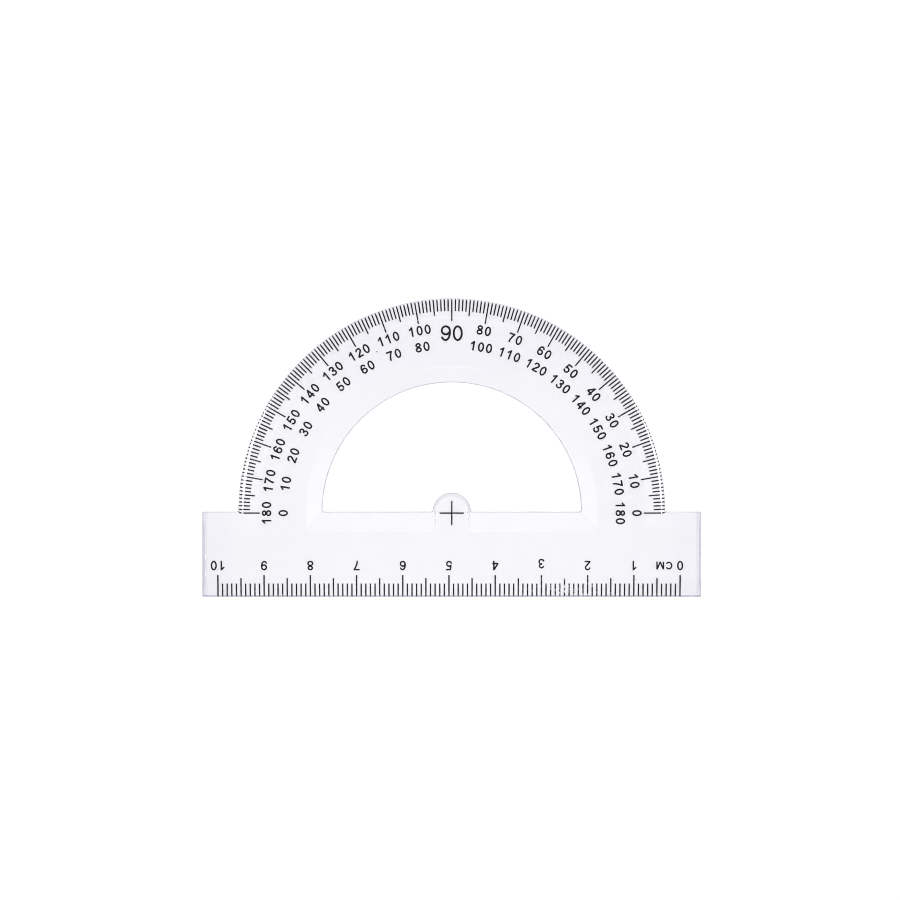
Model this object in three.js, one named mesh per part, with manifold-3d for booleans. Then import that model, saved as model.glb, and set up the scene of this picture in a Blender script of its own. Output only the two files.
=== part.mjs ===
/**
 * Clear half-circle protractor moulded in one with a 10 cm ruler bar.
 *
 * Millimetres, +Z up. The origin is the angle vertex, where the arms of the
 * centre cross meet, on the underside of the plate. +X runs along the ruler
 * bar and +Y points at the 90 degree mark. The plate is one moulding. Its
 * scales are stamped into the underside, and each mark is a thin bar of ink
 * that fills its own shallow pocket flush with the resting face.
 */
import * as THREE from 'three';
import { mergeVertices } from 'three/addons/utils/BufferGeometryUtils.js';
import Module from 'manifold-3d';

const wasm = await Module();
wasm.setup();

// Plate: a flat middle, thinned by a bevel to a low upright wall at its edges.
const THICKNESS = 2.0;
const EDGE_HEIGHT = 0.9;

// Ruler bar, with ends that lean inwards over the full thickness.
const BAR_LENGTH = 108.2;
const BAR_FRONT_Y = -18.13;
const BASE_LINE_Y = 0.3;
const END_LEAN = 0.8;
const FRONT_BEVEL = 3.7;

// Half disc that carries the degree scale.
const RIM_RADIUS = 46.2;
const RIM_BEVEL = 4.15;
const RIM_FOOT_Y = -10;

// D-shaped cut-out, straight side on the base line, flared towards the top.
const CUTOUT_RADIUS = 28;
const CUTOUT_ARC_BEVEL = 3.6;
const CUTOUT_LINE_BEVEL = 4.1;

// Round tab that stands into the cut-out under the angle vertex.
const TAB_RADIUS = 4.15;
const TAB_CENTRE_Y = 0.25;
const TAB_BEVEL = 0.7;
const TAB_FOOT_Y = -6;

// Stamped ink: how deep it sits, and the gap between it and its pocket's sides.
const INK_DEPTH = 0.1;
const POCKET_GAP = 0.02;

// Degree marks run inwards from just inside the rim.
const DEGREE_OUTER_RADIUS = 46.05;
const DEGREE_LINE = 0.29;
const TEN_DEGREE_INNER_RADIUS = 41.55;
const FIVE_DEGREE_INNER_RADIUS = 42.6;

// Centimetre marks rise from just inside the front edge, with zero on the right.
const RULER_ZERO_X = 49.4;
const RULER_FRONT_Y = -18.0;
const CENTIMETRE = 10;
const CENTIMETRES = 10;
const RULER_LINE = 0.3;
const CENTIMETRE_TOP_Y = -13.4;
const HALF_CENTIMETRE_TOP_Y = -14.0;

// Centre cross.
const CROSS_SPAN = 5.25;
const CROSS_LINE = 0.3;

// Overshoot that carries a cutting solid clear of the faces it cuts through.
const CLEAR = 1;
const ROUND_STEPS = 120;

const X = new THREE.Vector3(1, 0, 0);
const Y = new THREE.Vector3(0, 1, 0);
const Z = new THREE.Vector3(0, 0, 1);

const clearPlastic = new THREE.MeshStandardMaterial({
  color: 0xefeefb,
  roughness: 0.08,
  metalness: 0,
  transparent: true,
  opacity: 0.35,
});
const blackInk = new THREE.MeshStandardMaterial({ color: 0x101014, roughness: 0.55, metalness: 0 });

/** Turns a closed geometry into a solid that can be joined and cut. */
function toSolid(geometry) {
  const bare = geometry.clone();
  bare.deleteAttribute('normal');
  bare.deleteAttribute('uv');
  const merged = mergeVertices(bare);
  const corners = merged.index.array;
  const triangles = [];
  for (let i = 0; i < corners.length; i += 3) {
    const [a, b, c] = corners.slice(i, i + 3);
    if (a !== b && b !== c && c !== a) {
      triangles.push(a, b, c);
    }
  }
  return new wasm.Manifold(new wasm.Mesh({
    numProp: 3,
    vertProperties: new Float32Array(merged.attributes.position.array),
    triVerts: new Uint32Array(triangles),
  }));
}

/** Turns a solid back into a geometry. */
function toGeometry(solid) {
  const mesh = solid.getMesh();
  const geometry = new THREE.BufferGeometry();
  geometry.setAttribute('position', new THREE.BufferAttribute(new Float32Array(mesh.vertProperties), 3));
  geometry.setIndex(new THREE.BufferAttribute(new Uint32Array(mesh.triVerts), 1));
  geometry.computeVertexNormals();
  return geometry;
}

/** Sweeps a closed outline a given distance along its own third direction. */
function extrude(points, depth) {
  const shape = new THREE.Shape(points.map(([u, v]) => new THREE.Vector2(u, v)));
  return new THREE.ExtrudeGeometry(shape, { depth, bevelEnabled: false });
}

/** Prism along X, from -reach to +reach, with its section given as [y, z] points. */
function prismAlongX(section, reach) {
  const geometry = extrude(section, 2 * reach);
  geometry.translate(0, 0, -reach);
  geometry.applyMatrix4(new THREE.Matrix4().makeBasis(Y, Z, X));
  return toSolid(geometry);
}

/** Prism along Y, from backY down to frontY, with its section given as [x, z] points. */
function prismAlongY(section, frontY, backY) {
  const geometry = extrude(section, backY - frontY);
  geometry.translate(0, 0, -backY);
  geometry.applyMatrix4(new THREE.Matrix4().makeBasis(X, Z, Y.clone().negate()));
  return toSolid(geometry);
}

/** Solid turned about an upright axis at (0, centreY), from [radius, z] points. */
function turned(profile, centreY) {
  const points = profile.map(([radius, z]) => new THREE.Vector2(radius, z));
  const geometry = new THREE.LatheGeometry(points, ROUND_STEPS);
  geometry.applyMatrix4(new THREE.Matrix4().makeBasis(X, Z, Y.clone().negate()));
  geometry.translate(0, centreY, 0);
  return toSolid(geometry);
}

/** Straight-sided tongue with a round end towards +Y and a bevelled top edge. */
function tongue(radius, bevel, centreY, footY) {
  const end = turned([
    [0, 0],
    [radius, 0],
    [radius, EDGE_HEIGHT],
    [radius - bevel, THICKNESS],
    [0, THICKNESS],
  ], centreY);
  const sides = prismAlongY([
    [-radius, 0],
    [radius, 0],
    [radius, EDGE_HEIGHT],
    [radius - bevel, THICKNESS],
    [bevel - radius, THICKNESS],
    [-radius, EDGE_HEIGHT],
  ], footY, centreY);
  const aheadOfFoot = prismAlongX([
    [footY, -CLEAR],
    [centreY + radius + CLEAR, -CLEAR],
    [centreY + radius + CLEAR, THICKNESS + CLEAR],
    [footY, THICKNESS + CLEAR],
  ], radius + CLEAR);
  return end.add(sides).intersect(aheadOfFoot);
}

/** Ruler bar: bevels along both long edges, and leaning ends. */
function rulerBar() {
  const halfLength = BAR_LENGTH / 2;
  const long = prismAlongX([
    [BAR_FRONT_Y, 0],
    [BASE_LINE_Y, 0],
    [BASE_LINE_Y, EDGE_HEIGHT],
    [BASE_LINE_Y - RIM_BEVEL, THICKNESS],
    [BAR_FRONT_Y + FRONT_BEVEL, THICKNESS],
    [BAR_FRONT_Y, EDGE_HEIGHT],
  ], halfLength + CLEAR);
  const ends = prismAlongY([
    [-halfLength, 0],
    [halfLength, 0],
    [halfLength - END_LEAN, THICKNESS],
    [END_LEAN - halfLength, THICKNESS],
  ], BAR_FRONT_Y - CLEAR, BASE_LINE_Y + CLEAR);
  return long.intersect(ends);
}

/** D-shaped cutter, upright up to the edge wall and flared above it. */
function cutoutCutter() {
  const top = THICKNESS + CLEAR;
  const flare = (top - EDGE_HEIGHT) / (THICKNESS - EDGE_HEIGHT);
  const round = turned([
    [0, -CLEAR],
    [CUTOUT_RADIUS, -CLEAR],
    [CUTOUT_RADIUS, EDGE_HEIGHT],
    [CUTOUT_RADIUS + CUTOUT_ARC_BEVEL * flare, top],
    [0, top],
  ], BASE_LINE_Y);
  const aboveBaseLine = prismAlongX([
    [BASE_LINE_Y, -CLEAR],
    [RIM_RADIUS, -CLEAR],
    [RIM_RADIUS, top],
    [BASE_LINE_Y - CUTOUT_LINE_BEVEL * flare, top],
    [BASE_LINE_Y, EDGE_HEIGHT],
  ], RIM_RADIUS);
  return round.intersect(aboveBaseLine);
}

/** Outline of the centre cross, with its lines widened by grow on every side. */
function crossOutline(grow) {
  const arm = CROSS_SPAN / 2 + grow;
  const half = CROSS_LINE / 2 + grow;
  const quarter = [[arm, -half], [arm, half], [half, half]];
  const points = [];
  for (let turn = 0; turn < 4; turn += 1) {
    for (const [u, v] of quarter) {
      const turns = [[u, v], [-v, u], [-u, -v], [v, -u]];
      points.push(turns[turn]);
    }
  }
  return points;
}

/** A straight mark: its middle, its angle about Z, its length and its line width. */
function straightMark(name, x, y, angle, length, line) {
  return { name, x, y, angle, length, line };
}

/** Degree mark, on a ray from the angle vertex. */
function degreeMark(name, degrees, innerRadius) {
  const angle = THREE.MathUtils.degToRad(degrees);
  const middle = (DEGREE_OUTER_RADIUS + innerRadius) / 2;
  const length = DEGREE_OUTER_RADIUS - innerRadius;
  return straightMark(
    `${name}_${String(degrees).padStart(3, '0')}`,
    middle * Math.cos(angle),
    middle * Math.sin(angle),
    angle,
    length,
    DEGREE_LINE,
  );
}

/** Ruler mark, upright from the front edge. */
function rulerMark(name, centimetres, topY) {
  const length = topY - RULER_FRONT_Y;
  const label = String(centimetres * 10).padStart(3, '0');
  return straightMark(
    `${name}_${label}`,
    RULER_ZERO_X - centimetres * CENTIMETRE,
    RULER_FRONT_Y + length / 2,
    Math.PI / 2,
    length,
    RULER_LINE,
  );
}

/** Every straight mark that is a piece of its own. */
function straightMarks() {
  const marks = [];
  for (let degrees = 0; degrees <= 180; degrees += 10) {
    marks.push(degreeMark('ten_degree_mark', degrees, TEN_DEGREE_INNER_RADIUS));
  }
  for (let degrees = 5; degrees < 180; degrees += 10) {
    marks.push(degreeMark('five_degree_mark', degrees, FIVE_DEGREE_INNER_RADIUS));
  }
  for (let count = 0; count <= CENTIMETRES; count += 1) {
    marks.push(rulerMark('centimetre_mark_mm', count, CENTIMETRE_TOP_Y));
  }
  for (let count = 0.5; count < CENTIMETRES; count += 1) {
    marks.push(rulerMark('half_centimetre_mark_mm', count, HALF_CENTIMETRE_TOP_Y));
  }
  return marks;
}

/** Pocket that a straight mark's ink fills, open at the underside. */
function pocket(mark) {
  const geometry = new THREE.BoxGeometry(
    mark.length + 2 * POCKET_GAP,
    mark.line + 2 * POCKET_GAP,
    INK_DEPTH + CLEAR,
  );
  geometry.rotateZ(mark.angle);
  geometry.translate(mark.x, mark.y, (INK_DEPTH - CLEAR) / 2);
  return toSolid(geometry);
}

/** Pocket of the centre cross. */
function crossPocket() {
  const geometry = extrude(crossOutline(POCKET_GAP), INK_DEPTH + CLEAR);
  geometry.translate(0, 0, -CLEAR);
  return toSolid(geometry);
}

/** The whole moulding. */
function clearPlate(marks) {
  const disc = tongue(RIM_RADIUS, RIM_BEVEL, BASE_LINE_Y, RIM_FOOT_Y);
  const tab = tongue(TAB_RADIUS, TAB_BEVEL, TAB_CENTRE_Y, TAB_FOOT_Y);
  let plate = rulerBar().add(disc).subtract(cutoutCutter()).add(tab);
  for (const mark of marks) {
    plate = plate.subtract(pocket(mark));
  }
  plate = plate.subtract(crossPocket());
  const mesh = new THREE.Mesh(toGeometry(plate), clearPlastic);
  mesh.name = 'clear_plate';
  return mesh;
}

/** Ink of one straight mark. */
function inkBar(mark) {
  const mesh = new THREE.Mesh(new THREE.BoxGeometry(mark.length, mark.line, INK_DEPTH), blackInk);
  mesh.name = mark.name;
  mesh.position.set(mark.x, mark.y, INK_DEPTH / 2);
  mesh.rotation.z = mark.angle;
  return mesh;
}

/** Ink of the centre cross. */
function inkCross() {
  const mesh = new THREE.Mesh(extrude(crossOutline(0), INK_DEPTH), blackInk);
  mesh.name = 'centre_cross';
  return mesh;
}

const marks = straightMarks();
const scales = new THREE.Group();
scales.name = 'scales';
for (const mark of marks) {
  scales.add(inkBar(mark));
}
scales.add(inkCross());

const protractor = new THREE.Group();
protractor.name = 'protractor';
protractor.add(clearPlate(marks));
protractor.add(scales);

export default protractor;
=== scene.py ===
# Looks of a clear moulded protractor on a ruler bar: the plate itself, the print
# under it, their materials, the light and the camera. Lengths are in metres, in
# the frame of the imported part: origin at the angle vertex on the underside, +X
# along the bar, +Y at the 90 degree mark, +Z up.

import math
from collections import namedtuple

import bmesh
import bpy
import numpy as np
from mathutils import Matrix, Vector
from mathutils.geometry import delaunay_2d_cdt


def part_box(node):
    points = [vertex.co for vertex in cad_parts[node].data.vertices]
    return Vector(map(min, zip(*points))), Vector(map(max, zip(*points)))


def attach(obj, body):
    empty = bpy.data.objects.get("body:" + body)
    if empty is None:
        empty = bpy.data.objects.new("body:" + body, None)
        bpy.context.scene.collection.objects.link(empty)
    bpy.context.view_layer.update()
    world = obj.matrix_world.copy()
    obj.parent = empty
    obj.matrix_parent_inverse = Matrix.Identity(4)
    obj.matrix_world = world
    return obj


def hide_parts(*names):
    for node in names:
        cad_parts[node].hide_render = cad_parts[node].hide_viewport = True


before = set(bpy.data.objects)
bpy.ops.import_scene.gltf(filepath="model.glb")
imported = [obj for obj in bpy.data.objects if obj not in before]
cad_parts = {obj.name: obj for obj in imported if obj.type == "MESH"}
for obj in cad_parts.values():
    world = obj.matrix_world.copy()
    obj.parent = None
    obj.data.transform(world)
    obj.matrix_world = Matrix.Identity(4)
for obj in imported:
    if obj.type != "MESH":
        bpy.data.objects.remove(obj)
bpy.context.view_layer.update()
MM = 0.001

# ---------------------------------------------------------------- plate sizes
PLATE_LOW, PLATE_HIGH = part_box("clear_plate")
HALF_LENGTH = PLATE_HIGH.x
FRONT_Y = PLATE_LOW.y
THICKNESS = PLATE_HIGH.z
BASE_Y = 0.3 * MM                      # shoulders and straight side of the window
RIM_RADIUS = PLATE_HIGH.y - BASE_Y
EDGE_HEIGHT = 0.9 * MM                 # where a bevel meets its edge before rounding
RIM_BEVEL = 4.15 * MM
FRONT_BEVEL = 3.7 * MM
WINDOW_RADIUS = 28 * MM
WINDOW_ARC_BEVEL = 3.6 * MM
WINDOW_LINE_BEVEL = 4.1 * MM
TAB_RADIUS = 4.15 * MM
TAB_Y = 0.25 * MM
TAB_BEVEL = 0.7 * MM
END_LEAN = 0.8 * MM

# Moulded radii and drafts that soften the plate's edges. A draft is how far a wall
# leans in before it rolls over on to its bevel, and a roll is how wide that curve is.
UNDERSIDE_LIFT = 0.02 * MM             # the print stands this proud of the plastic
BOTTOM_ROUND = 0.15 * MM
RIM_DRAFT = 0.05 * MM
RIM_ROLL = 1.35 * MM
WINDOW_DRAFT = 0.1 * MM
WINDOW_ROLL = 0.2 * MM
FRONT_DRAFT = 0.22 * MM                # what the front edge leans in beyond the rim's draft
BAR_ROLL = 0.25 * MM                   # front edge and shoulders
CREASE = 0.5 * MM                      # half width of the crease between bevel and flat
FOOT_FILLET = 0.4 * MM                 # where a round side meets a straight edge
CORNER_ROUND = 0.25 * MM               # upright corners of the bar
WINDOW_CORNER = 0.45 * MM

# How many steps the curves of the plate are drawn in. The round tops of the rim and
# the tab come down to an angle, and a few steps go on from there to their feet.
BOTTOM_STEPS = 4
EDGE_STEPS = 12
CREASE_STEPS = 6
RIM_STEPS = 88
WINDOW_STEPS = 75
TAB_STEPS = 26
RIM_END_ANGLE = math.radians(2)
TAB_END_ANGLE = math.radians(12)
SIDE_STEPS = 5
FOOT_STEPS = 6
BAR_CORNER_STEPS = 4
WINDOW_CORNER_STEPS = 8

# ---------------------------------------------------------------- print sizes
INK_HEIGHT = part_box("centre_cross")[1].z
DEGREE_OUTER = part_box("ten_degree_mark_000")[1].x
DEGREE_LINE = 2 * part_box("ten_degree_mark_000")[1].y
ONE_DEGREE_INNER = 43.55 * MM
RULER_LOW, RULER_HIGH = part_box("centimetre_mark_mm_000")
RULER_ZERO_X = (RULER_LOW.x + RULER_HIGH.x) / 2
RULER_LINE = RULER_HIGH.x - RULER_LOW.x
CENTIMETRE = 10 * MM
MILLIMETRE_TOP = -15.06 * MM
STRAY_DOT = (-16.2 * MM, 34.9 * MM)
STRAY_DOT_SIZE = 0.22 * MM

# A pitch is the distance between the middles of two characters, in heights.
NUMERAL_HEIGHT = 2.09 * MM
NUMERAL_PITCH = 0.84
DEGREE_STROKE = 0.35 * MM
OUTER_ROW_RADIUS = 40.07 * MM
INNER_ROW_RADIUS = 36.47 * MM
NINETY_RADIUS = 38.92 * MM
NINETY_HEIGHT = 3.4 * MM
NINETY_STROKE = 0.43 * MM
NINETY_PITCH = 0.76
RULER_STROKE = 0.33 * MM
RULER_NUMERAL_Y = -11.35 * MM
RULER_UP = -math.pi / 2                # the ruler is read from the arc's side
RAISED_NUMERAL = 3                     # the one numeral of the ruler that sits out of line
RAISED_BY = 0.4 * MM
UNIT_X = 46.05 * MM
UNIT_HEIGHT = 1.7 * MM
UNIT_STROKE = 0.31 * MM
UNIT_PITCH = 1.12


def mesh_object(name, mesh):
    """Turns a bmesh into an object in the scene."""
    data = bpy.data.meshes.new(name)
    mesh.to_mesh(data)
    mesh.free()
    made = bpy.data.objects.new(name, data)
    bpy.context.scene.collection.objects.link(made)
    return made


# ---------------------------------------------------------------- plate mesh
# One contour of the plate: its height, the share of each bevel's width that it
# stands in, the same for the bar's front edge and shoulders, an inset common to
# every edge, the front edge's further inset and how far the ends lean in. A side is
# a list of pairs of these: a contour, and how fast each of its numbers changes.
Level = namedtuple("Level", "z share bar_share inset front_inset lean")
LEAN_RATE = END_LEAN / THICKNESS
BEVEL_SLOPE = (THICKNESS - EDGE_HEIGHT) / RIM_BEVEL
WALL_START = UNDERSIDE_LIFT + BOTTOM_ROUND


def quadratic(a, b, c, t):
    """Value and slope at t of the quadratic curve with control values a, b and c."""
    value = (1 - t) ** 2 * a + 2 * t * (1 - t) * b + t * t * c
    slope = 2 * (1 - t) * (b - a) + 2 * t * (c - b)
    return value, slope


def bottom_levels():
    """Quarter round between the underside and the edges."""
    levels = []
    for step in range(BOTTOM_STEPS + 1):
        angle = math.pi / 2 * step / BOTTOM_STEPS
        z = UNDERSIDE_LIFT + BOTTOM_ROUND * (1 - math.cos(angle))
        dz = BOTTOM_ROUND * math.sin(angle)
        inset = BOTTOM_ROUND * (1 - math.sin(angle))
        dinset = -BOTTOM_ROUND * math.cos(angle)
        levels.append((
            Level(z, 0, 0, inset, 0, LEAN_RATE * z),
            Level(dz, 0, 0, dinset, 0, LEAN_RATE * dz),
        ))
    return levels


def straight_edge(z):
    """Share of the bar's bevels and inset of its front at a height, then the rate of each."""
    height = THICKNESS - EDGE_HEIGHT
    if z >= EDGE_HEIGHT + BAR_ROLL * BEVEL_SLOPE:
        return (z - EDGE_HEIGHT) / height, FRONT_DRAFT, 1 / height, 0
    rise = EDGE_HEIGHT - WALL_START
    bend = BAR_ROLL * BEVEL_SLOPE - rise
    t = (math.sqrt(rise ** 2 + bend * (z - WALL_START)) - rise) / bend
    dt = 1 / (2 * (rise + bend * t))
    across, dacross = quadratic(0, 0, BAR_ROLL, t)
    inset, dinset = quadratic(0, FRONT_DRAFT, FRONT_DRAFT, t)
    return across / RIM_BEVEL, inset, dacross * dt / RIM_BEVEL, dinset * dt


def edge_levels(draft, roll):
    """Wall with a slight draft, rolled over on to the slope of the bevel."""
    levels = []
    for step in range(1, EDGE_STEPS + 1):
        t = step / EDGE_STEPS
        inset, dinset = quadratic(0, draft, draft, t)
        across, dacross = quadratic(0, 0, roll, t)
        z, dz = quadratic(WALL_START, EDGE_HEIGHT, EDGE_HEIGHT + roll * BEVEL_SLOPE, t)
        bar_share, front_inset, bar_rate, front_rate = straight_edge(z)
        levels.append((
            Level(z, across / RIM_BEVEL, bar_share, inset, front_inset, LEAN_RATE * z),
            Level(dz, dacross / RIM_BEVEL, bar_rate * dz, dinset, front_rate * dz, LEAN_RATE * dz),
        ))
    return levels


def crease_levels(draft):
    """Soft crease, from the slope of the bevel to the flat middle."""
    levels = []
    drop = CREASE * BEVEL_SLOPE
    lean_start = END_LEAN * (1 - drop / THICKNESS)
    lean_tangent = math.hypot(drop, END_LEAN - lean_start)
    for step in range(CREASE_STEPS + 1):
        t = step / CREASE_STEPS
        across, dacross = quadratic(RIM_BEVEL - CREASE, RIM_BEVEL, RIM_BEVEL + CREASE, t)
        z, dz = quadratic(THICKNESS - drop, THICKNESS, THICKNESS, t)
        lean, dlean = quadratic(lean_start, END_LEAN, END_LEAN + lean_tangent, t)
        share, dshare = across / RIM_BEVEL, dacross / RIM_BEVEL
        levels.append((
            Level(z, share, share, draft, FRONT_DRAFT, lean),
            Level(dz, dshare, dshare, 0, 0, dlean),
        ))
    return levels


def side_levels(draft, roll):
    """The whole side of the plate, from the underside to the flat middle."""
    return bottom_levels() + edge_levels(draft, roll) + crease_levels(draft)


def arc(centre_x, centre_y, radius, start, stop, steps, facing=1):
    """Stations (x, y, normal x, normal y) along an arc. Facing -1 turns the normals inwards."""
    stations = []
    for angle in np.linspace(start, stop, steps + 1):
        c, s = math.cos(angle), math.sin(angle)
        stations.append((centre_x + radius * c, centre_y + radius * s, facing * c, facing * s))
    return stations


def tongue(radius, centre_y, line_y, end_angle, arc_steps):
    """Right half of a round-ended tongue, from its top down to the line that it grows from."""
    foot_y = line_y + FOOT_FILLET
    rise = max(0.0, foot_y - centre_y)
    foot_x = math.sqrt((radius + FOOT_FILLET) ** 2 - rise ** 2)
    foot_angle = math.atan2(rise, foot_x)
    stations = arc(0, centre_y, radius, math.pi / 2, end_angle, arc_steps)
    start = stations[-1][1]
    stop = centre_y + radius * math.sin(foot_angle) if rise else foot_y
    for step in range(1, SIDE_STEPS):
        y = start + (stop - start) * step / SIDE_STEPS
        above = max(0.0, y - centre_y)
        x = math.sqrt(radius ** 2 - above ** 2)
        stations.append((x, y, x / radius, above / radius))
    fillet_start = math.pi + foot_angle
    stations += arc(foot_x, foot_y, FOOT_FILLET, fillet_start, 1.5 * math.pi, FOOT_STEPS, -1)
    return stations


def mirrored(half):
    """Closed loop from its right half. Points on the middle line come once."""
    left = [(-x, y, -nx, ny) for x, y, nx, ny in reversed(half) if x > 1e-9]
    return half + left


def outer_outline(level):
    """Outline of the half disc and the bar."""
    radius = RIM_RADIUS - level.inset - RIM_BEVEL * level.share
    line_y = BASE_Y - level.inset - RIM_BEVEL * level.bar_share
    front_y = FRONT_Y + level.inset + level.front_inset + FRONT_BEVEL * level.bar_share
    end_x = HALF_LENGTH - level.inset - level.lean - CORNER_ROUND
    upper_y, lower_y = line_y - CORNER_ROUND, front_y + CORNER_ROUND
    half = tongue(radius, BASE_Y, line_y, RIM_END_ANGLE, RIM_STEPS)
    half += arc(end_x, upper_y, CORNER_ROUND, math.pi / 2, 0, BAR_CORNER_STEPS)
    half += arc(end_x, lower_y, CORNER_ROUND, 0, -math.pi / 2, BAR_CORNER_STEPS)
    return mirrored(half)


def window_outline(level):
    """Outline of the D-shaped window, with the tab standing into it."""
    radius = WINDOW_RADIUS + level.inset + WINDOW_ARC_BEVEL * level.share
    line_y = BASE_Y - level.inset - WINDOW_LINE_BEVEL * level.share
    corner_y = line_y + WINDOW_CORNER
    corner_x = math.sqrt((radius - WINDOW_CORNER) ** 2 - (corner_y - BASE_Y) ** 2)
    corner_angle = math.atan2(corner_y - BASE_Y, corner_x)
    half = arc(0, BASE_Y, radius, math.pi / 2, corner_angle, WINDOW_STEPS, -1)
    corner = arc(
        corner_x, corner_y, WINDOW_CORNER, corner_angle, -math.pi / 2, WINDOW_CORNER_STEPS, -1
    )
    tab_radius = TAB_RADIUS - level.inset - TAB_BEVEL * level.share
    tab = tongue(tab_radius, TAB_Y, line_y, TAB_END_ANGLE, TAB_STEPS)
    return mirrored(half + corner[1:] + tab[::-1])


def contour(outline, level, rate):
    """Points and normals of one outline at one level."""
    tiny = 1e-5
    next_level = Level(*(value + tiny * slope for value, slope in zip(level, rate)))
    here = np.array(outline(level))
    ahead = np.array(outline(next_level))
    outward_speed = ((ahead[:, :2] - here[:, :2]) * here[:, 2:]).sum(axis=1) / tiny
    normals = np.column_stack([
        here[:, 2] * rate.z,
        here[:, 3] * rate.z,
        -outward_speed,
    ])
    normals /= np.linalg.norm(normals, axis=1)[:, None]
    points = np.column_stack([here[:, :2], np.full(len(here), level.z)])
    return points, normals


def skin(mesh, outline, levels, normals_out):
    """Adds the wall through all levels of an outline, and returns its bottom and top rings."""
    rings = []
    for level, rate in levels:
        points, normals = contour(outline, level, rate)
        rings.append([mesh.verts.new(point) for point in points])
        normals_out.extend(normals)
    for lower, upper in zip(rings, rings[1:]):
        for i, vertex in enumerate(lower):
            j = (i + 1) % len(lower)
            mesh.faces.new((vertex, upper[i], upper[j], lower[j]))
    return rings[0], rings[-1]


def ring_edges(mesh, ring):
    """Edges round a closed ring of vertices."""
    return [mesh.edges.get((ring[i - 1], ring[i])) for i in range(len(ring))]


def make_plate():
    """The whole moulding as one closed mesh with exact normals."""
    mesh = bmesh.new()
    normals = []
    outer_levels = side_levels(RIM_DRAFT, RIM_ROLL)
    window_levels = side_levels(WINDOW_DRAFT, WINDOW_ROLL)
    outer_low, outer_high = skin(mesh, outer_outline, outer_levels, normals)
    window_low, window_high = skin(mesh, window_outline, window_levels, normals)
    for outer, inner in ((outer_low, window_low), (outer_high, window_high)):
        edges = ring_edges(mesh, outer) + ring_edges(mesh, inner)
        bmesh.ops.triangle_fill(mesh, edges=edges, use_beauty=True)
    bmesh.ops.recalc_face_normals(mesh, faces=mesh.faces)
    for face in mesh.faces:
        face.smooth = True
    plate = mesh_object("plate_moulding", mesh)
    plate.data.normals_split_custom_set_from_vertices([Vector(n) for n in normals])
    return plate


# ---------------------------------------------------------------- print mesh
def add_bar(mesh, x, y, angle, length, line):
    """Adds one upright-sided bar of ink."""
    c, s = math.cos(angle), math.sin(angle)
    corners = []
    for z in (0, INK_HEIGHT):
        for u, v in ((-1, -1), (1, -1), (1, 1), (-1, 1)):
            along, across = u * length / 2, v * line / 2
            place = (x + along * c - across * s, y + along * s + across * c, z)
            corners.append(mesh.verts.new(place))
    low, high = corners[:4], corners[4:]
    mesh.faces.new(reversed(low))
    mesh.faces.new(high)
    for i in range(4):
        j = (i + 1) % 4
        mesh.faces.new((low[i], low[j], high[j], high[i]))


def make_one_degree_marks():
    """Degree marks that aren't on a five."""
    mesh = bmesh.new()
    middle = (DEGREE_OUTER + ONE_DEGREE_INNER) / 2
    for degrees in range(181):
        if degrees % 5:
            angle = math.radians(degrees)
            add_bar(
                mesh,
                middle * math.cos(angle),
                middle * math.sin(angle),
                angle,
                DEGREE_OUTER - ONE_DEGREE_INNER,
                DEGREE_LINE,
            )
    return mesh_object("one_degree_marks", mesh)


def make_stray_dot():
    """A stray dot of ink beside the inner row of numerals."""
    mesh = bmesh.new()
    add_bar(mesh, *STRAY_DOT, 0, STRAY_DOT_SIZE, STRAY_DOT_SIZE)
    return mesh_object("stray_dot", mesh)


def make_millimetre_marks():
    """Ruler marks that aren't on a five."""
    mesh = bmesh.new()
    length = MILLIMETRE_TOP - RULER_LOW.y
    for count in range(101):
        if count % 5:
            add_bar(
                mesh,
                RULER_ZERO_X - count * MM,
                RULER_LOW.y + length / 2,
                math.pi / 2,
                length,
                RULER_LINE,
            )
    return mesh_object("millimetre_marks", mesh)


# ---------------------------------------------------------------- numerals
# A glyph is drawn in a box of height 1 by the middle lines of its strokes. What
# runs out of the box is cut off square, which gives the straight strokes their
# flat ends. Its outline comes from a grid of distances to those strokes.
NUMERAL_WIDTH = 0.64
GRID_STEP = 0.025
GRID_START = -0.05
GRID_COUNT = 46
OUTLINE_TOLERANCE = 0.003


def curve(cx, cy, rx, ry, start, stop, steps=28):
    """Points along an elliptical arc, with its angles in degrees."""
    angles = np.radians(np.linspace(start, stop, steps + 1))
    return [(cx + rx * math.cos(a), cy + ry * math.sin(a)) for a in angles]


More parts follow.
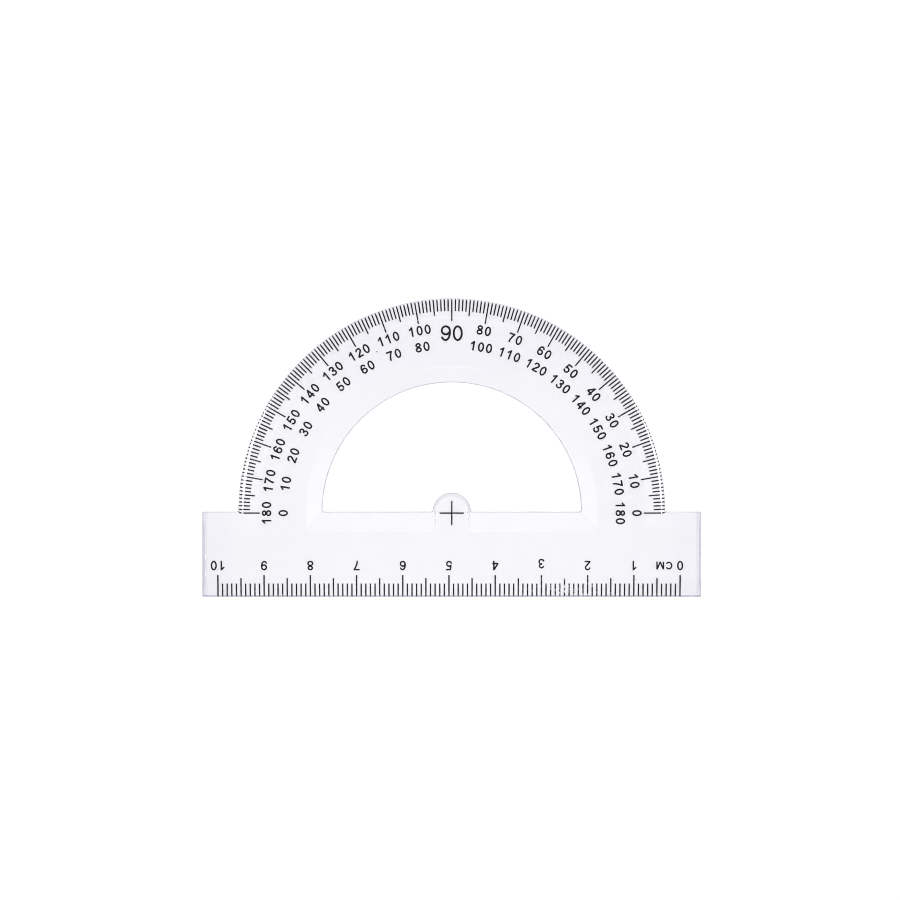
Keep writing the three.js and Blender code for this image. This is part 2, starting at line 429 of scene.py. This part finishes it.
def glyph_strokes(half):
    """Width and strokes of every glyph for a line of the given half width."""
    low, high = half, 1 - half
    left, right = half, NUMERAL_WIDTH - half
    middle = (left + right) / 2
    reach = (right - left) / 2
    six = [
        curve(middle, 0.32, reach, 0.32 - half, 0, 360),
        curve(middle + 0.02, 0.5, reach + 0.02, 0.5 - half, 195, 38),
    ]
    nine = [[(2 * middle - x, 1 - y) for x, y in stroke] for stroke in six]
    numerals = {
        "0": [curve(middle, 0.5, reach, 0.5 - half, 0, 360, 48)],
        "1": [[(0.38, -0.2), (0.38, 1.2)], [(0.38, high), (0.13, 0.70)]],
        "2": [
            curve(middle, 0.71, reach - 0.01, 0.29 - half, 168, -32)
            + [(left + 0.01, low + 0.02), (left + 0.04, low), (0.9, low)],
        ],
        "3": [
            curve(middle, 0.735, reach - 0.03, 0.265 - half, 160, -90)
            + curve(middle, 0.285, reach, 0.285 - half + 0.02, 90, -162),
        ],
        "4": [
            [(0.46, -0.2), (0.46, 1.2)],
            [(0.44, 0.93), (0.06, 0.32)],
            [(0.05, 0.29), (0.62, 0.29)],
        ],
        "5": [
            [(0.56, high), (0.19, high), (0.12, 0.50)]
            + curve(middle - 0.01, 0.325, reach, 0.325 - half, 138, -160),
        ],
        "6": six,
        "7": [
            [(-0.2, high), (right, high)],
            [(right, high), (0.36, 0.55), (0.26, 0.25), (0.22, -0.2)],
        ],
        "8": [
            curve(middle, 0.745, reach - 0.03, 0.255 - half, 0, 360),
            curve(middle, 0.285, reach, 0.285 - half, 0, 360),
        ],
        "9": nine,
    }
    letters = {
        "C": (0.86, [curve(0.45, 0.5, 0.45 - half, 0.5 - half, 42, 318)]),
        "M": (1.0, [
            [(half, -0.2), (half, 1.2)],
            [(1 - half, -0.2), (1 - half, 1.2)],
            [(half, 1.0), (0.5, 0.05), (1 - half, 1.0)],
        ]),
    }
    return {name: (NUMERAL_WIDTH, strokes) for name, strokes in numerals.items()} | letters


def distance_to(stroke, x, y):
    """Distance from each grid point to a stroke's middle line."""
    best = np.full(x.shape, np.inf)
    for (ax, ay), (bx, by) in zip(stroke, stroke[1:]):
        dx, dy = bx - ax, by - ay
        t = np.clip(((x - ax) * dx + (y - ay) * dy) / (dx * dx + dy * dy), 0, 1)
        best = np.minimum(best, np.hypot(x - ax - t * dx, y - ay - t * dy))
    return best


def crossing(field, start, stop):
    """Where a grid edge changes sign: a key that both cells beside it share, and the point."""
    (i, j), (k, m) = start, stop
    t = field[start] / (field[start] - field[stop])
    x = GRID_START + GRID_STEP * (i + t * (k - i))
    y = GRID_START + GRID_STEP * (j + t * (m - j))
    return (min(start, stop), max(start, stop)), (x, y)


def zero_loops(field):
    """Closed loops where the grid's values change sign, by marching squares."""
    after = {}
    places = {}
    rows, columns = field.shape
    for i in range(rows - 1):
        for j in range(columns - 1):
            corners = ((i, j), (i + 1, j), (i + 1, j + 1), (i, j + 1))
            inside = [field[c] < 0 for c in corners]
            leaving, entering = [], []
            for a in range(4):
                b = (a + 1) % 4
                if inside[a] != inside[b]:
                    key, point = crossing(field, corners[a], corners[b])
                    places[key] = point
                    (leaving if inside[a] else entering).append(key)
            for out_key, in_key in zip(leaving, entering):
                after[out_key] = in_key
    loops = []
    while after:
        start, key = after.popitem()
        loop = [places[start]]
        while key != start:
            loop.append(places[key])
            key = after.pop(key)
        loops.append(loop)
    return loops


def thinned(loop):
    """The loop with only the points that keep every dropped one close to it."""
    kept = [0]
    for i in range(1, len(loop)):
        ax, ay = loop[kept[-1]]
        bx, by = loop[(i + 1) % len(loop)]
        length = math.hypot(bx - ax, by - ay)
        passed = loop[kept[-1] + 1:i + 1]
        # The largest distance from the chord, times the chord's length.
        strayed = max(abs((bx - ax) * (y - ay) - (by - ay) * (x - ax)) for x, y in passed)
        if strayed > OUTLINE_TOLERANCE * length:
            kept.append(i)
    return [loop[i] for i in kept]


Glyph = namedtuple("Glyph", "width points loops triangles")
drawn_glyphs = {}


def draw_glyphs(half):
    """Every glyph for a line of the given half width, in units of its height."""
    places = GRID_START + GRID_STEP * np.arange(GRID_COUNT)
    x, y = np.meshgrid(places, places, indexing="ij")
    glyphs = {}
    for letter, (width, strokes) in glyph_strokes(half).items():
        ink = np.min([distance_to(stroke, x, y) for stroke in strokes], axis=0) - half
        box = np.max([-x, x - width, -y, y - 1], axis=0)
        field = np.maximum(ink, box)
        field[field == 0] = 1e-9
        outlines = [thinned(loop) for loop in zero_loops(field)]
        points = [point for outline in outlines for point in outline]
        loops = []
        for outline in outlines:
            first = loops[-1][-1] + 1 if loops else 0
            loops.append(list(range(first, first + len(outline))))
        filled = delaunay_2d_cdt([Vector(p) for p in points], [], loops, 2, 1e-6)
        glyphs[letter] = Glyph(width, points, loops, filled[2])
    return glyphs


def add_text(mesh, text, height, stroke, x, y, up_angle, pitch=NUMERAL_PITCH):
    """Adds a text centred on (x, y), with its top towards up_angle, as upright-sided ink."""
    half = stroke / height / 2
    if half not in drawn_glyphs:
        drawn_glyphs[half] = draw_glyphs(half)
    up = (math.cos(up_angle), math.sin(up_angle))
    right = (up[1], -up[0])
    for index, letter in enumerate(text):
        glyph = drawn_glyphs[half][letter]
        start = (index - (len(text) - 1) / 2) * pitch - glyph.width / 2
        layers = []
        for z in (0, INK_HEIGHT):
            layers.append([
                mesh.verts.new((
                    x + height * ((u + start) * right[0] + (v - 0.5) * up[0]),
                    y + height * ((u + start) * right[1] + (v - 0.5) * up[1]),
                    z,
                ))
                for u, v in glyph.points
            ])
        low, high = layers
        for triangle in glyph.triangles:
            mesh.faces.new([low[i] for i in reversed(triangle)])
            mesh.faces.new([high[i] for i in triangle])
        for loop in glyph.loops:
            for i, j in zip(loop, loop[1:] + loop[:1]):
                mesh.faces.new((low[i], low[j], high[j], high[i]))


def lettering(name, mesh):
    """Turns a bmesh of text into a piece with its faces outwards."""
    bmesh.ops.recalc_face_normals(mesh, faces=mesh.faces)
    return mesh_object(name, mesh)


def make_degree_numerals(name, radius, value_at):
    """One row of degree numerals, with a gap at 90. value_at gives the number at an angle."""
    mesh = bmesh.new()
    for degrees in range(0, 181, 10):
        if degrees != 90:
            angle = math.radians(degrees)
            add_text(
                mesh,
                str(value_at(degrees)),
                NUMERAL_HEIGHT,
                DEGREE_STROKE,
                radius * math.cos(angle),
                radius * math.sin(angle),
                angle,
            )
    return lettering(name, mesh)


def make_ninety():
    """The large 90 that both rows share."""
    mesh = bmesh.new()
    up_angle = math.pi / 2
    add_text(mesh, "90", NINETY_HEIGHT, NINETY_STROKE, 0, NINETY_RADIUS, up_angle, NINETY_PITCH)
    return lettering("ninety_numeral", mesh)


def make_ruler_numerals():
    """The ruler's numerals, which read from the other side."""
    mesh = bmesh.new()
    for count in range(11):
        add_text(
            mesh,
            str(count),
            NUMERAL_HEIGHT,
            RULER_STROKE,
            RULER_ZERO_X - count * CENTIMETRE,
            RULER_NUMERAL_Y + (RAISED_BY if count == RAISED_NUMERAL else 0),
            RULER_UP,
        )
    return lettering("ruler_numerals", mesh)


def make_unit_letters():
    """CM, between 0 and 1."""
    mesh = bmesh.new()
    add_text(mesh, "CM", UNIT_HEIGHT, UNIT_STROKE, UNIT_X, RULER_NUMERAL_Y, RULER_UP, UNIT_PITCH)
    return lettering("unit_letters", mesh)


# ---------------------------------------------------------------- materials
PLASTIC_IOR = 1.57
TINT_LOW = (0.955, 0.944, 0.968, 1)    # the plastic's faint tint varies between these two
TINT_HIGH = (0.970, 0.959, 0.982, 1)
PAINTED_SHADE_TINT = (0.25, 0.24, 0.37, 1)     # painted shade: the darker colour that upright faces and the plate's edges are mixed towards
UPRIGHT_FROM, UPRIGHT_TO = 0.75, 0.25  # as a normal's Z falls, its face counts as upright and takes more painted shade

# Where painted shade deepens the tint: along an axis, from one place on it to another,
# and by how much. The bar's two ends share the places on X.
PAINTED_SHADE_RISES = [
    ("X", HALF_LENGTH - 34 * MM, HALF_LENGTH - 9 * MM, 0.025),
    ("X", HALF_LENGTH - 9 * MM, HALF_LENGTH - 3 * MM, 0.03),
    ("X", HALF_LENGTH - 1.6 * MM, HALF_LENGTH - 0.8 * MM, 0.15),
    ("Y", 20 * MM, 36 * MM, 0.05),
    ("Y", FRONT_Y + 4.2 * MM, FRONT_Y + 3.4 * MM, 0.035),
    ("Y", FRONT_Y + 0.5 * MM, FRONT_Y + 0.2 * MM, 0.95),
]

# Features per metre, and heights, of the unevenness of each surface.
TINT_SCALE = 25
POLISH_SCALE = 180
FLOW_SCALE = 60
FLOW_HEIGHT = 0.03 * MM
FOIL_SCALE = 2600
FOIL_HEIGHT = 0.01 * MM

FOIL_BLACK = (0.004, 0.004, 0.006, 1)
FOIL_THIN = (0.03, 0.03, 0.035, 1)
SPECK_GREY = (0.7, 0.7, 0.72, 1)

# Where the print has pale specks: what its middle adds to the foil's grain, and the
# sums between which the specks show.
SPECK_CENTRE = (24 * MM, -16.5 * MM, 0)
SPECK_RADIUS = 14 * MM
SPECK_GAIN = 0.13
SPECK_FROM, SPECK_TO = 0.66, 0.7


def new_material(name):
    """A node material with a Principled shader, its tree and that shader."""
    material = bpy.data.materials.new(name)
    material.use_nodes = True
    tree = material.node_tree
    return material, tree, tree.nodes["Principled BSDF"]


def noise(tree, scale, detail, roughness=0.5):
    """Noise over the object's own coordinates, in features per metre."""
    place = tree.nodes.new("ShaderNodeTexCoord")
    texture = tree.nodes.new("ShaderNodeTexNoise")
    texture.inputs["Scale"].default_value = scale
    texture.inputs["Detail"].default_value = detail
    texture.inputs["Roughness"].default_value = roughness
    tree.links.new(place.outputs["Object"], texture.inputs["Vector"])
    return texture.outputs["Fac"]


def remap(tree, source, start, stop, low=0.0, high=1.0, interpolation="LINEAR"):
    """Maps start to stop on to low to high, and holds what lies outside at the nearer end."""
    node = tree.nodes.new("ShaderNodeMapRange")
    node.interpolation_type = interpolation
    node.inputs["From Min"].default_value = start
    node.inputs["From Max"].default_value = stop
    node.inputs["To Min"].default_value = low
    node.inputs["To Max"].default_value = high
    tree.links.new(source, node.inputs["Value"])
    return node.outputs["Result"]


def added(tree, values, clamped=False):
    """Sum of two or more values."""
    total = values[0]
    for value in values[1:]:
        node = tree.nodes.new("ShaderNodeMath")
        node.use_clamp = clamped
        tree.links.new(total, node.inputs[0])
        tree.links.new(value, node.inputs[1])
        total = node.outputs["Value"]
    return total


def magnitude(tree, source):
    """A value without its sign."""
    node = tree.nodes.new("ShaderNodeMath")
    node.operation = "ABSOLUTE"
    tree.links.new(source, node.inputs[0])
    return node.outputs["Value"]


def axes(tree, coordinates):
    """X, Y and Z outputs of one kind of texture coordinates."""
    place = tree.nodes.new("ShaderNodeTexCoord")
    split = tree.nodes.new("ShaderNodeSeparateXYZ")
    tree.links.new(place.outputs[coordinates], split.inputs["Vector"])
    return split.outputs


def ramp_colour(tree, source, low, high):
    """Colour of a ramp at a value. Each end of the ramp is a position and a colour."""
    ramp = tree.nodes.new("ShaderNodeValToRGB")
    for element, (position, colour) in zip(ramp.color_ramp.elements, (low, high)):
        element.position = position
        element.color = colour
    tree.links.new(source, ramp.inputs["Fac"])
    return ramp.outputs["Color"]


def mixed(tree, factor, start, colour):
    """A colour output, mixed by a factor with a fixed colour."""
    mix = tree.nodes.new("ShaderNodeMix")
    mix.data_type = "RGBA"
    mix.inputs["B"].default_value = colour
    tree.links.new(factor, mix.inputs["Factor"])
    tree.links.new(start, mix.inputs["A"])
    return mix.outputs["Result"]


def add_bump(tree, shader, source, strength, height):
    """Bump from a value, on a shader's normal."""
    bump = tree.nodes.new("ShaderNodeBump")
    bump.inputs["Strength"].default_value = strength
    bump.inputs["Distance"].default_value = height
    tree.links.new(source, bump.inputs["Height"])
    tree.links.new(bump.outputs["Normal"], shader.inputs["Normal"])


def side_on(tree):
    """Painted shade on the walls: from 0 on level and sloping faces to 1 on upright ones."""
    return remap(tree, magnitude(tree, axes(tree, "Normal")["Z"]), UPRIGHT_FROM, UPRIGHT_TO)


def near_edges(tree):
    """How much painted shade deepens the tint towards the bar's ends, up the arc and at the front
    edge.
    """
    place = axes(tree, "Object")
    along = {"X": magnitude(tree, place["X"]), "Y": place["Y"]}
    rises = [
        remap(tree, along[axis], start, stop, 0.0, amount, "SMOOTHSTEP")
        for axis, start, stop, amount in PAINTED_SHADE_RISES
    ]
    return added(tree, rises)


def clear_plastic():
    """Polished clear styrene with a faint lavender tint, darkened by painted shade on upright
    faces and near its edges. Light passes through it to the floor.
    """
    material, tree, shader = new_material("clear_plastic")
    shader.inputs["IOR"].default_value = PLASTIC_IOR
    shader.inputs["Transmission Weight"].default_value = 1.0
    cloud = noise(tree, TINT_SCALE, 1)
    faint = ramp_colour(tree, cloud, (0.0, TINT_LOW), (1.0, TINT_HIGH))
    # Painted shade: the tint is darkened on upright faces and towards the edges.
    painted_shade = added(tree, [side_on(tree), near_edges(tree)], clamped=True)
    tree.links.new(mixed(tree, painted_shade, faint, PAINTED_SHADE_TINT), shader.inputs["Base Color"])
    polish = remap(tree, noise(tree, POLISH_SCALE, 4), 0.0, 1.0, 0.0, 0.05)
    tree.links.new(polish, shader.inputs["Roughness"])
    add_bump(tree, shader, noise(tree, FLOW_SCALE, 1), 1.0, FLOW_HEIGHT)
    clear = tree.nodes.new("ShaderNodeBsdfTransparent")
    clear.inputs["Color"].default_value = (0.99, 0.99, 1.0, 1)
    rays = tree.nodes.new("ShaderNodeLightPath")
    seen = shader.outputs["BSDF"]
    for ray in ("Is Diffuse Ray", "Is Shadow Ray"):
        mix = tree.nodes.new("ShaderNodeMixShader")
        tree.links.new(rays.outputs[ray], mix.inputs["Fac"])
        tree.links.new(seen, mix.inputs[1])
        tree.links.new(clear.outputs["BSDF"], mix.inputs[2])
        seen = mix.outputs["Shader"]
    tree.links.new(seen, tree.nodes["Material Output"].inputs["Surface"])
    return material


def worn(tree, grain):
    """1 in the pale specks, which only one part of the ruler has."""
    place = tree.nodes.new("ShaderNodeTexCoord")
    away = tree.nodes.new("ShaderNodeVectorMath")
    away.operation = "DISTANCE"
    away.inputs[1].default_value = SPECK_CENTRE
    tree.links.new(place.outputs["Object"], away.inputs[0])
    near = remap(tree, away.outputs["Value"], SPECK_RADIUS, 0.0, 0.0, SPECK_GAIN)
    return remap(tree, added(tree, [near, grain]), SPECK_FROM, SPECK_TO)


def black_ink():
    """Flat black stamping foil: a little uneven, greyer where it is thin, with pale specks in one
    place.
    """
    material, tree, shader = new_material("black_ink")
    shader.inputs["Specular IOR Level"].default_value = 0.2
    grain = noise(tree, FOIL_SCALE, 5, 0.65)
    foil = ramp_colour(tree, grain, (0.42, FOIL_BLACK), (0.78, FOIL_THIN))
    # Pale grey specks in one patch of the ruler's print.
    specked = mixed(tree, worn(tree, grain), foil, SPECK_GREY)
    tree.links.new(specked, shader.inputs["Base Color"])
    tree.links.new(remap(tree, grain, 0.0, 1.0, 0.35, 0.75), shader.inputs["Roughness"])
    add_bump(tree, shader, grain, 0.4, FOIL_HEIGHT)
    return material


def paper_floor():
    """Plain white floor."""
    material, _, shader = new_material("white_floor")
    shader.inputs["Base Color"].default_value = (0.9, 0.9, 0.9, 1)
    shader.inputs["Roughness"].default_value = 1.0
    shader.inputs["Specular IOR Level"].default_value = 0.0
    return material


# ---------------------------------------------------------------- stage
FLOOR_Z = -0.03 * MM
FLOOR_HALF = 12.0
CAMERA_PLACE = (-0.38 * MM, 13.65 * MM, 500 * MM)
VIEW_WIDTH = 194.98 * MM               # of the plane that the plate lies on
SENSOR = 36.0


def direction(azimuth, elevation):
    """Unit vector towards a place in the room, from its angles in degrees."""
    a, e = math.radians(azimuth), math.radians(elevation)
    return Vector((math.cos(e) * math.cos(a), math.cos(e) * math.sin(a), math.sin(e)))


FILL_IRRADIANCE = 3.25
FILL_ANGLE = 60                        # in degrees

# Strip softboxes: name, the directions of both ends, and radiance.
STRIPS = [
    ("strip_right", direction(28, 2), direction(-4, 42), 15),
    ("strip_left", direction(153, 8), direction(182, 48), 16),
]
STRIP_ANGLE = 14                       # width in degrees
STRIP_DISTANCE = 1.2

# Soft pale patches of the room: direction, half angle in degrees and radiance.
GLOWS = [
    (direction(90, 62), 7, 0.55),      # the far side, seen in the bevels of the base line
    (direction(90, 75), 7, 1.0),       # seen in the creases at the top of those bevels
    (direction(0, 63), 17, 0.5),       # right and left, seen in the bevel round the window
    (direction(180, 63), 17, 0.5),
]
ROOM_RADIANCE = 0.04
WALL_RADIANCE = 0.85                   # the pale walls of the room, low down all round
WALL_TOP, WALL_FADE = 30, 8            # elevations in degrees between which they fade


def make_floor():
    """Floor just under the print."""
    data = bpy.data.meshes.new("floor")
    signs = [(-1, -1), (1, -1), (1, 1), (-1, 1)]
    corners = [(x * FLOOR_HALF, y * FLOOR_HALF, FLOOR_Z) for x, y in signs]
    data.from_pydata(corners, [], [(0, 1, 2, 3)])
    floor = bpy.data.objects.new("floor", data)
    bpy.context.scene.collection.objects.link(floor)
    data.materials.append(paper_floor())


def make_camera():
    """Camera straight above, with the top of the arc away from the viewer."""
    data = bpy.data.cameras.new("camera")
    data.sensor_width = SENSOR
    data.lens = SENSOR * CAMERA_PLACE[2] / VIEW_WIDTH
    data.clip_start = 0.01
    camera = bpy.data.objects.new("camera", data)
    camera.location = CAMERA_PLACE
    bpy.context.scene.collection.objects.link(camera)
    bpy.context.scene.camera = camera


def make_fill():
    """Even light from overhead for the floor. It has no reflection."""
    data = bpy.data.lights.new("overhead_fill", "SUN")
    data.energy = FILL_IRRADIANCE
    data.angle = math.radians(FILL_ANGLE)
    fill = bpy.data.objects.new("overhead_fill", data)
    fill.visible_glossy = False
    fill.visible_transmission = False
    bpy.context.scene.collection.objects.link(fill)


def make_strip(name, low, high, radiance):
    """Strip softbox between two directions. It shows only in the gloss."""
    middle = (low + high).normalized()
    along = (high - low).normalized()
    across = along.cross(middle)
    data = bpy.data.lights.new(name, "AREA")
    data.shape = "RECTANGLE"
    data.size = 2 * STRIP_DISTANCE * math.tan(math.radians(STRIP_ANGLE) / 2)
    data.size_y = 2 * STRIP_DISTANCE * math.tan(low.angle(high) / 2)
    data.energy = radiance * data.size * data.size_y * math.pi
    strip = bpy.data.objects.new(name, data)
    turn = Matrix((across, along, middle)).transposed().to_4x4()
    strip.matrix_world = Matrix.Translation(middle * STRIP_DISTANCE) @ turn
    strip.visible_diffuse = False
    strip.visible_transmission = False
    strip.visible_camera = False
    bpy.context.scene.collection.objects.link(strip)


def make_world():
    """Room with pale walls, a dim ceiling and soft pale patches high up."""
    world = bpy.data.worlds.new("room")
    world.use_nodes = True
    tree = world.node_tree
    height = axes(tree, "Generated")["Z"]
    top, fade = math.sin(math.radians(WALL_TOP)), math.sin(math.radians(WALL_FADE))
    parts = [remap(tree, height, top, fade, ROOM_RADIANCE, WALL_RADIANCE, "SMOOTHSTEP")]
    place = tree.nodes.new("ShaderNodeTexCoord")
    for toward, half_angle, radiance in GLOWS:
        facing = tree.nodes.new("ShaderNodeVectorMath")
        facing.operation = "DOT_PRODUCT"
        facing.inputs[1].default_value = toward
        tree.links.new(place.outputs["Generated"], facing.inputs[0])
        rim = math.cos(math.radians(half_angle))
        parts.append(remap(tree, facing.outputs["Value"], rim, 1.0, 0.0, radiance, "SMOOTHSTEP"))
    background = tree.nodes["Background"]
    background.inputs["Color"].default_value = (1.0, 1.0, 1.0, 1)
    tree.links.new(added(tree, parts), background.inputs["Strength"])
    bpy.context.scene.world = world


# ---------------------------------------------------------------- assembly
def make_print():
    """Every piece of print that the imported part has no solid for."""
    return [
        make_one_degree_marks(),
        make_millimetre_marks(),
        make_stray_dot(),
        make_degree_numerals("outer_degree_numerals", OUTER_ROW_RADIUS, lambda angle: angle),
        make_degree_numerals("inner_degree_numerals", INNER_ROW_RADIUS, lambda angle: 180 - angle),
        make_ninety(),
        make_ruler_numerals(),
        make_unit_letters(),
    ]


def set_view():
    """Colours as they are, fine lines, and room for light to go back and forth in the plate."""
    scene = bpy.context.scene
    scene.view_settings.view_transform = "Standard"
    scene.cycles.filter_width = 1.0
    scene.cycles.max_bounces = 40
    scene.cycles.glossy_bounces = 32
    scene.cycles.transmission_bounces = 24


def assemble():
    """Makes every piece, gives it its material and its body, and sets the stage."""
    plastic, ink = clear_plastic(), black_ink()
    plate = make_plate()
    plate.data.materials.append(plastic)
    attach(plate, "root")
    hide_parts("clear_plate")
    for piece in make_print():
        piece.data.materials.append(ink)
        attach(piece, "root")
    for name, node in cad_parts.items():
        if name != "clear_plate":
            node.data.materials.clear()
            node.data.materials.append(ink)
    make_floor()
    make_camera()
    make_fill()
    for strip in STRIPS:
        make_strip(*strip)
    make_world()
    set_view()


assemble()
